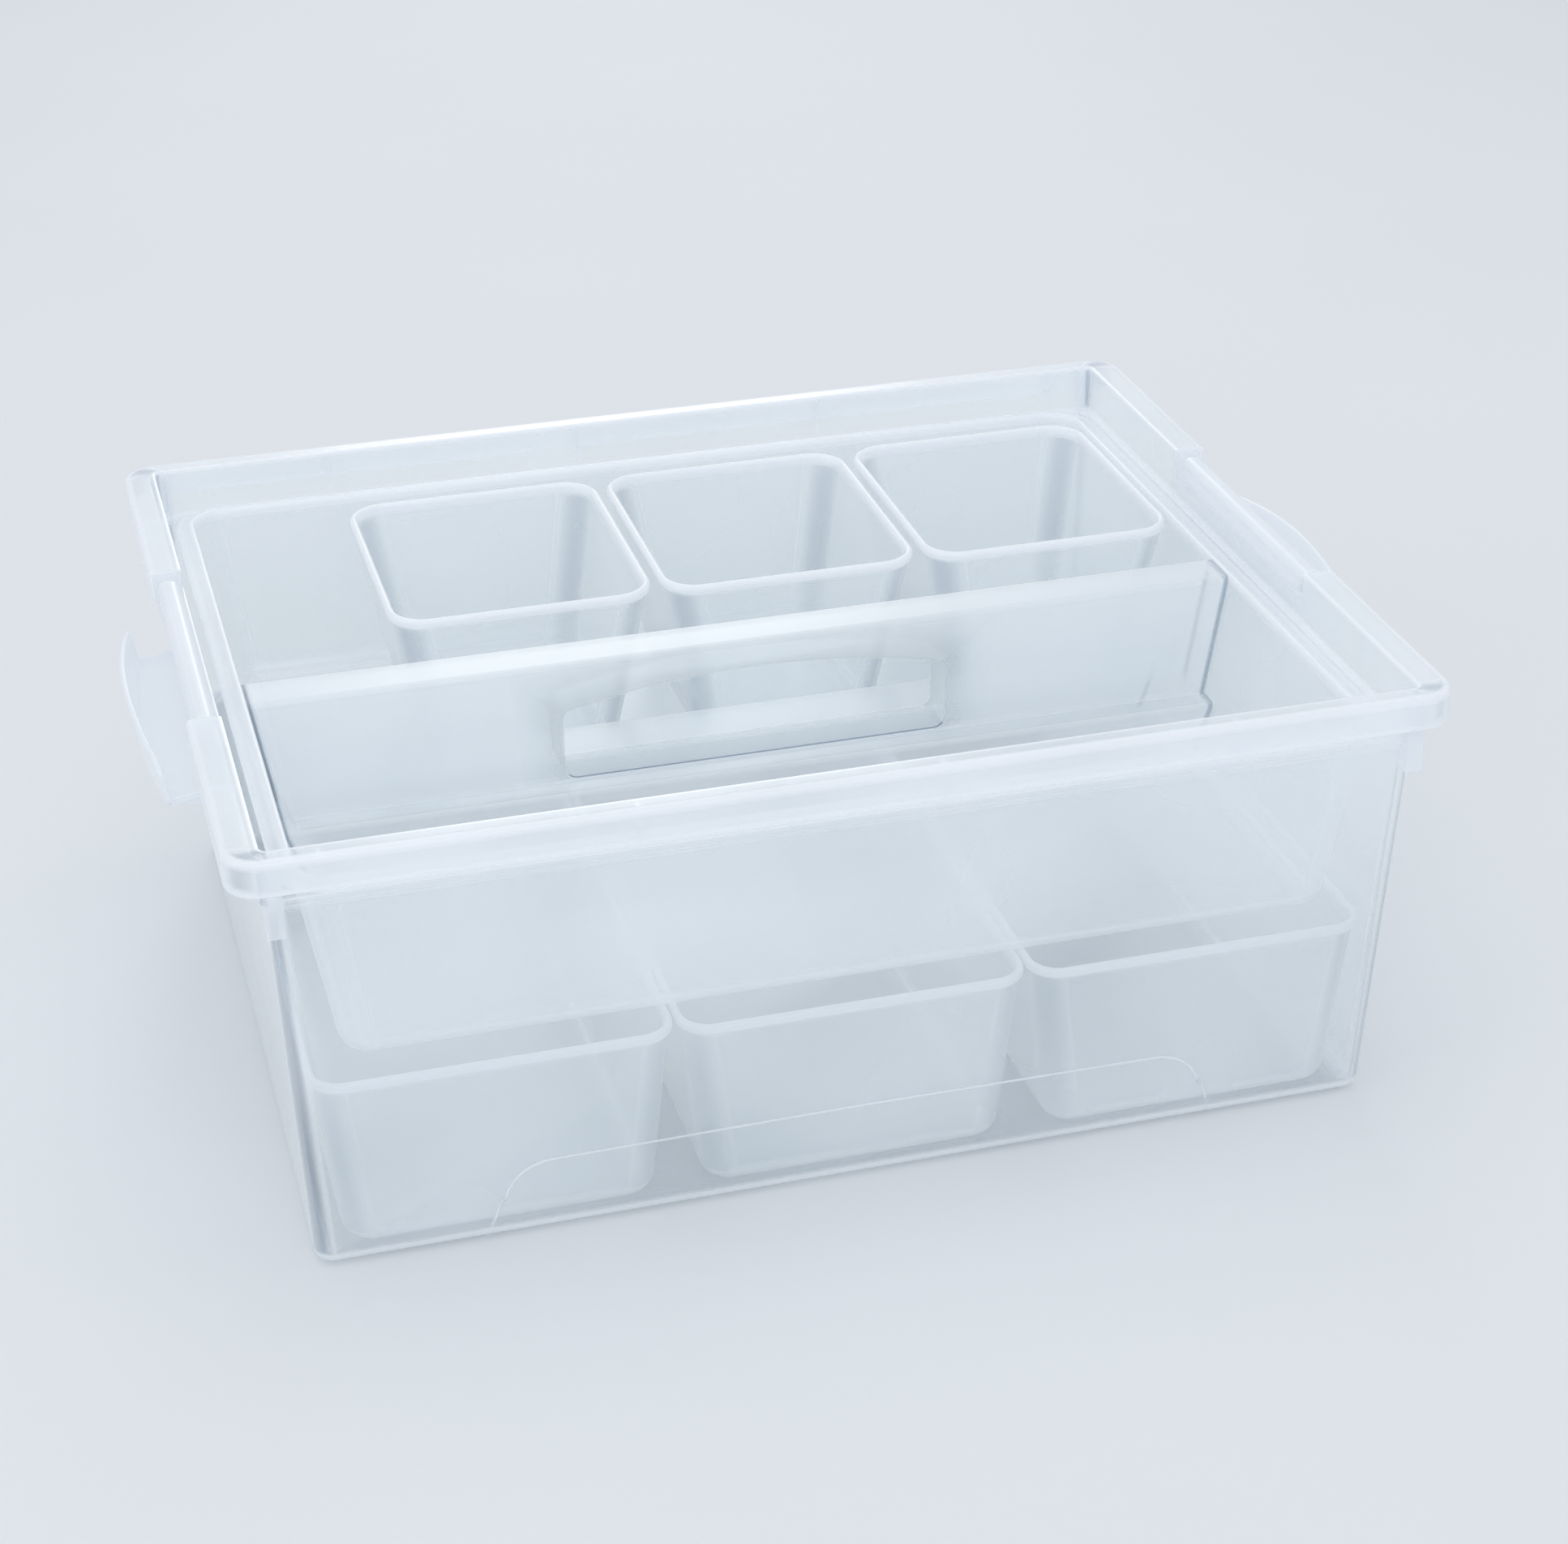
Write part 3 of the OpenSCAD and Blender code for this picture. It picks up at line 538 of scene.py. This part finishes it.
def slot_edge(grow):
    """The hand slot's outline: square foot, arched top."""
    return (arc(80, 126.3, 5 + grow, 270, 360, 8) + arc(81, 149.13, 4 + grow, 0, 77.08, 8)
            + arc(0, -203.95, 366.25 + grow, 77.08, 102.92, 24)[1:-1]
            + arc(-81, 149.13, 4 + grow, 102.92, 180, 8) + arc(-80, 126.3, 5 + grow, 180, 270, 8))


front, back, step, top = -28, -6, 119.8, 175.4
outer = ([(-40, 90), (-39.1, 117)] + arc(-37.6, 118.3, 1.5, 180, 90, 4) + [(-36, step), (-30.5, step)]
         + arc(-29.2, 121, 1.2, 270, 360, 4) + [(front, 123)] + [(front, 172)]
         + arc(front + 2.4, top - 2.4, 2.4, 180, 90, 5) + arc(back - 2.4, top - 2.4, 2.4, 90, 0, 5)
         + [(back, 172), (back, 123)] + arc(-4.8, 121, 1.2, 180, 270, 4) + [(-3, step), (18, step)]
         + arc(20.6, 118.3, 1.5, 90, 0, 4) + [(22.1, 117), (23, 90)])
inner = ([(21.2, 90), (20.3, 116.6)] + arc(19.5, 117.2, 0.8, 0, 90, 3) + [(-6.6, 118)]
         + arc(-7, 118.8, 0.8, 270, 180, 3) + [(-7.8, 172)] + arc(-9.2, 172.2, 1.4, 0, 90, 3)
         + arc(-24.8, 172.2, 1.4, 90, 180, 3) + [(-26.2, 119.6)] + arc(-27, 118.8, 0.8, 360, 270, 3)
         + arc(-36.5, 117.2, 0.8, 90, 180, 3) + [(-38.2, 90)])
section = outer + inner
# Painted highlight along the top and the step's corners, not over the step's flat
painted_highlight = [0.3 if z > 172.5 else 0.1 if z == step else 0.55 if abs(z - step) < 2.5 else 0.42
          for y, z in outer]
painted_highlight += [0.1] * len(inner)
bm = bmesh.new()
# At each end, where the handle wall meets the end walls, a line of painted shade between two of painted
# highlight
places = [(1, 0.5), (0.993, -0.7), (0.982, 0.6), (0.96, 0), (0.5, 0)]
places = [(-k, e) for k, e in places] + places[::-1]
skin(bm, [[(k * wall_mid(z), y, z) for y, z in section] for k, _ in places],
     [[e or b for b in painted_highlight] for _, e in places])
handle = piece("handle_wall", bm, tray_pp)
bm = bmesh.new()
skin(bm, [[(x, y, z) for x, z in slot_edge(0.7)] for y in (-50, 10)], [0.1, 0.1])
cutter = piece("slot_cutter", bm, tray_pp)
cut = handle.modifiers.new("Slot", "BOOLEAN")
cut.object, cut.operation, cut.solver = cutter, "DIFFERENCE", "EXACT"
bpy.context.view_layer.update()
handle.data = bpy.data.meshes.new_from_object(
    handle.evaluated_get(bpy.context.evaluated_depsgraph_get()))
handle.modifiers.clear()
bpy.data.objects.remove(cutter)
# The slot's liner, with a rounded lip at both faces. Its satin skin spreads the light, so the sill stays
# clear to look through
# Clear to look through, with no mirror to whiten it
slot_pp = polypropylene("Clear polypropylene, satin slot lining", haze=0.05, painted_edge_highlight=0.75,
                        glance_haze=0.1, roughness=0.6, ripple=0.1)
bm = bmesh.new()
lip = [(0.4, 0.9), (0, 0.4), (0.1, -0.1), (0.6, -0.5), (1.2, -0.4), (1.6, 0), (1.5, 0.8)]
profile = ([(grow, front + y) for grow, y in lip] + [(grow, back - y) for grow, y in reversed(lip)])
lines = [slot_edge(grow) for grow, _ in profile]
rows = [[(x, profile[k][1], z) for x, z in lines[k]] for k in range(len(profile))]
rows.append(rows[0])
# The sill's front edge is painted as a dark line of painted shade over two lines of painted highlight
sill = [-0.2, -0.7, -1, 0.7, 0.6, 0.25, 0.05] + [0] * 7
glow = [[sill[k % 14] if z < 123 else 0.05 for _, _, z in row] for k, row in enumerate(rows)]
skin(bm, rows, glow, caps=False)
bmesh.ops.remove_doubles(bm, verts=bm.verts, dist=1e-6)
liner = piece("slot_liner", bm, slot_pp)
for ob in (handle, liner):
    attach(ob, "insert_tray")

# ---- Cups ----
# Three loose square cups behind the handle wall, each with a rolled rim that stiffens it. Their skin is
# finely grained, so they are a little frosted.


def container(name, x, y, rim_r, lean_x, lean_y, bend, z, high, wall, material, at):
    """An open container with a rolled rim, half sizes x and y over it, moulded with leaning walls."""
    roll = 3.2
    fx, fy = x - roll - lean_x, y - roll - lean_y
    rings = base_bend(fx, fy, bend + 1, bend - wall, z + wall, 0.45, True)
    inside = [(x - roll, y - roll, rim_r - roll)]
    rings += [(x - roll - 0.4, y - roll - 0.3, rim_r - roll, z + high - 6, 0),
              (x - roll, y - roll, rim_r - roll, z + high - 2.6, 0.7)]
    for k in range(9):
        a = math.radians(180 - 180 * k / 8)
        d = 1.6 - 1.6 * math.cos(a)
        rings.append((x - d, y - d, rim_r - d, z + high - 1.6 + 1.6 * math.sin(a), 1))
    rings += [(x, y, rim_r, z + high - 3.2, 0.8), (x - 0.3, y - 0.3, rim_r - 0.3, z + high - 3.8, 0.9),
              (x - 0.9, y - 0.9, rim_r - 0.9, z + high - 4, 0.7),
              (x - 1.5, y - 1.5, rim_r - 1.5, z + high - 4.4, 0.4),
              (x - 1.8, y - 1.7, rim_r - 1.8, z + high - 6, 0)]
    rings += base_bend(x - 1.6 - lean_x, y - 1.6 - lean_y, bend + 2.6, bend, z, 0.45, False)
    bm = bmesh.new()
    # Painted highlight round the rolled rim and the base bends, painted shade down the middle of each corner
    loft(bm, rings, 14, (0.1, -0.22), shift=at)
    return piece(name, bm, material)


# Slightly frosted, with painted highlight on the rolled rim
cup_pp = polypropylene("Polypropylene, finely grained cup", haze=0.2, painted_edge_highlight=0.75,
                       glance_haze=0.45, roughness=0.32, ripple=0.12)
for side, place in (("left", -1), ("middle", 0), ("right", 1)):
    cup = container(f"cup_{side}_shell", x=58.75, y=67.5, rim_r=17, lean_x=12, lean_y=12, bend=12,
                    z=90.9, high=85.3, wall=1.6, material=cup_pp, at=(33.85 + 122 * place, 96.9))
    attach(cup, f"cup_{side}")
    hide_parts(f"cup_{side}")

# ---- Bins ----
# Three long bins that fill the tub below the tray, made as the cups are, with nearly upright ends.

# A little more frosted than the cups, with more painted highlight on the rims
bin_pp = polypropylene("Polypropylene, finely grained bin", haze=0.3, painted_edge_highlight=0.85,
                       glance_haze=0.4, roughness=0.32, ripple=0.12)
for side, place in (("left", -1), ("middle", 0), ("right", 1)):
    box = container(f"bin_{side}_shell", x=73.1, y=179.9, rim_r=14, lean_x=7, lean_y=2.5, bend=10.5,
                    z=2.7, high=81.5, wall=1.6, material=bin_pp, at=(147.4 * place, 0))
    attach(box, f"bin_{side}")
    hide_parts(f"bin_{side}")

# ---- Studio ----
# A plain pale floor, soft light from large screens, and a long lens a little above the box.

mat = bpy.data.materials.new("Pale matt floor")
mat.use_nodes = True
tree = mat.node_tree
tree.nodes.clear()
place = add(tree, "ShaderNodeTexCoord").outputs["Object"]
grain = add(tree, "ShaderNodeTexNoise", {"Vector": place, "Scale": 3, "Detail": 3})
tone = add(tree, "ShaderNodeMix", {0: grain.outputs[0], 6: linear("DADDE0"), 7: linear("DDE0E3")},
           data_type="RGBA")
shell = add(tree, "ShaderNodeBsdfPrincipled", {"Base Color": tone.outputs[2], "Roughness": 0.85,
                                               "Specular IOR Level": 0.2})
add(tree, "ShaderNodeOutputMaterial", {"Surface": shell.outputs[0]})
mesh = bpy.data.meshes.new("floor")
mesh.from_pydata([(-9, -9, 0), (9, -9, 0), (9, 9, 0), (-9, 9, 0)], [], [(0, 1, 2, 3)])
mesh.materials.append(mat)
floor = bpy.data.objects.new("floor", mesh)
bpy.context.collection.objects.link(floor)

world = bpy.data.worlds.new("Studio")
bpy.context.scene.world = world
world.use_nodes = True
world.node_tree.nodes.clear()
sky = add(world.node_tree, "ShaderNodeBackground", {"Color": linear("F1F5FA"), "Strength": 0.76})
add(world.node_tree, "ShaderNodeOutputWorld", {"Surface": sky.outputs[0]})


def screen(name, at, size, power, aim=(0, 0, 0.1)):
    """A large soft light aimed at the box."""
    light = bpy.data.lights.new(name, "AREA")
    light.shape, light.size, light.size_y, light.energy = "RECTANGLE", size[0], size[1], power
    ob = bpy.data.objects.new(name, light)
    ob.location = at
    ob.rotation_euler = (Vector(aim) - Vector(at)).to_track_quat("-Z", "Y").to_euler()
    bpy.context.collection.objects.link(ob)


screen("Overhead screen", (-0.3, 0.3, 2.2), (2.2, 1.8), 10)
screen("Front screen", (-0.4, -2.6, 1.5), (2.4, 1.6), 17)
screen("Left screen", (-2.2, -0.6, 1.3), (1.6, 1.6), 8)
screen("Right screen", (2.4, -0.2, 1.1), (1.6, 1.4), 7)
# Seen as a soft patch in the floors of the cups and the bins
screen("Back screen", (0.43, 2.23, 1.26), (0.64, 0.75), 5.5)

yaw, pitch, roll = 0.2688, 0.4892, -0.0118
look = Vector((math.sin(yaw) * math.cos(pitch), math.cos(yaw) * math.cos(pitch), -math.sin(pitch)))
right = Vector((math.cos(yaw), -math.sin(yaw), 0))
up = right.cross(look)
right, up = (right * math.cos(roll) + up * math.sin(roll), up * math.cos(roll) - right * math.sin(roll))
camera = bpy.data.objects.new("Camera", bpy.data.cameras.new("Camera"))
camera.matrix_world = Matrix.Translation((-0.31492, -1.2126, 0.76362)) @ Matrix(
    (right, up, -look)).transposed().to_4x4()
camera.data.sensor_width = 36
# Focal length and picture width in pixels
focal_px, width_px = 3929.5, 1934
camera.data.lens = 36 * focal_px / width_px
bpy.context.collection.objects.link(camera)
bpy.context.scene.camera = camera
bpy.context.scene.view_settings.view_transform = "Standard"
bpy.context.scene.cycles.max_bounces = 8
bpy.context.scene.cycles.diffuse_bounces = 4
bpy.context.scene.cycles.glossy_bounces = 2
bpy.context.scene.cycles.transparent_max_bounces = 64
bpy.context.scene.cycles.use_denoising = True
